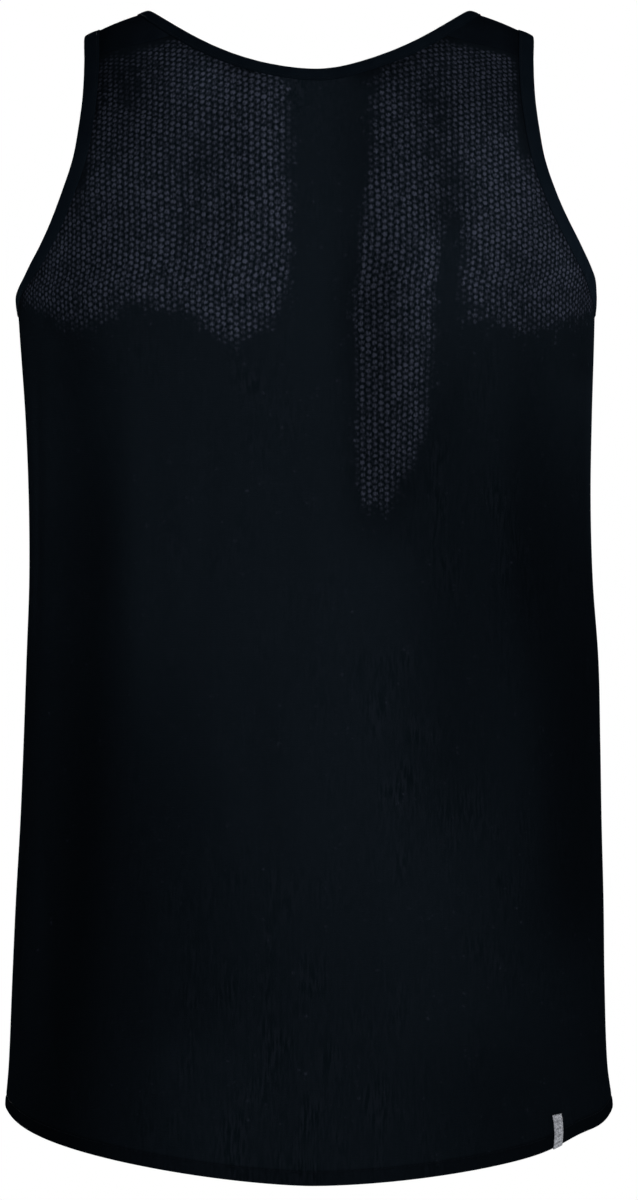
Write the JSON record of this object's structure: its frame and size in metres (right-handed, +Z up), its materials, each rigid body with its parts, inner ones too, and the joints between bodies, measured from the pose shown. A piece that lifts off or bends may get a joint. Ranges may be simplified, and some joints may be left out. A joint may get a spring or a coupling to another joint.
{
  "type": "sports tank top",
  "caption": "Sleeveless running top in worn form, open and hollow: eyelet mesh back, plain knit front, bound neck and armholes, dipped hem with side vents and a small label over the hem.",
  "frame": {"origin": "midway between the two shoulders, level with the neck binding at the top of a shoulder: where the wearer's shoulders hold the garment up", "axes": "+Z up the wearer's body; the back faces -Y and the front +Y; +X is the wearer's right, so a view along +Y shows the back with +X to the right"},
  "size_m": [0.3718, 0.2527, 0.7068],
  "materials": {
    "eyelet_mesh": "near-black eyelet mesh knit, soft sheen on the raised stitches",
    "plain_knit": "near-black fine plain knit, matt",
    "binding_knit": "near-black fine knit strip, folded and stitched",
    "label_weave": "light grey woven satin, blank"
  },
  "bodies": {
    "root": {"back_panel": "eyelet_mesh", "front_panel": "plain_knit", "neck_binding": "binding_knit", "armhole_binding_left": "binding_knit", "armhole_binding_right": "binding_knit", "hem_label": "label_weave"}
  },
  "joints": []
}
